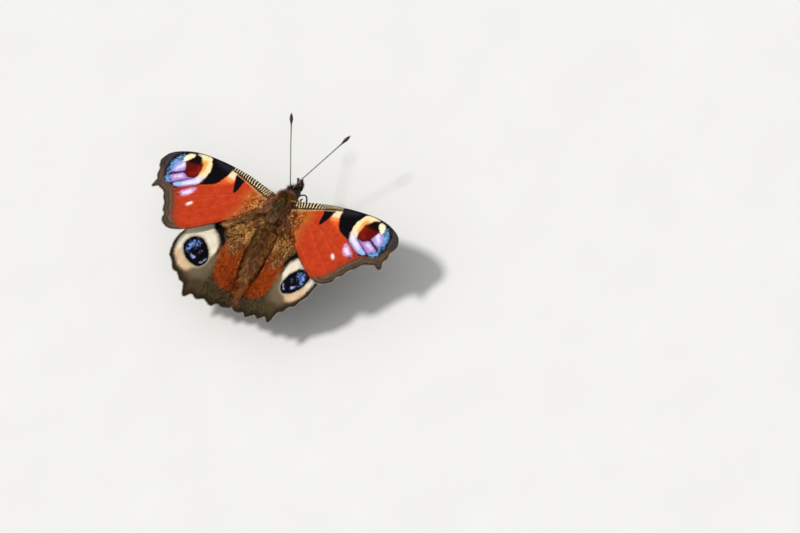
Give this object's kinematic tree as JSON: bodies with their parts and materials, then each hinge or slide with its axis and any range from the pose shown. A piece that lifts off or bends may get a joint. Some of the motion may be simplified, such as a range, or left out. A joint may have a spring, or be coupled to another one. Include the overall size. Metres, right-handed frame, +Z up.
{
  "type": "peacock butterfly",
  "caption": "Life-size peacock butterfly at rest with its wings spread flat, antennae forward and proboscis curled, standing on its walking legs.",
  "frame": {"origin": "on the floor under the middle of the butterfly's bounding box", "axes": "+Z up, +Y the way the head points, +X towards the butterfly's own right"},
  "size_m": [0.0646, 0.0436, 0.0154],
  "materials": {
    "body_fur": "short dense brown hair over chitin",
    "eye": "faceted dark brown eye",
    "cuticle": "dark brown chitin with fine scales",
    "forewing_scales": "brick red powdery scales with black, cream and blue markings",
    "hindwing_scales": "brown and rust powdery scales with a blue and black eye spot"
  },
  "bodies": {
    "root": {"thorax": "body_fur", "abdomen": "body_fur", "head": "body_fur", "palp_right": "body_fur", "palp_left": "body_fur", "eye_right": "eye", "eye_left": "eye", "proboscis": "cuticle", "antenna_right": "cuticle", "antenna_left": "cuticle", "foreleg_right": "cuticle", "foreleg_left": "cuticle", "midleg_right": "cuticle", "midleg_left": "cuticle", "hindleg_right": "cuticle", "hindleg_left": "cuticle", "forewing_right": "forewing_scales", "forewing_left": "forewing_scales", "hindwing_right": "hindwing_scales", "hindwing_left": "hindwing_scales"}
  },
  "joints": []
}
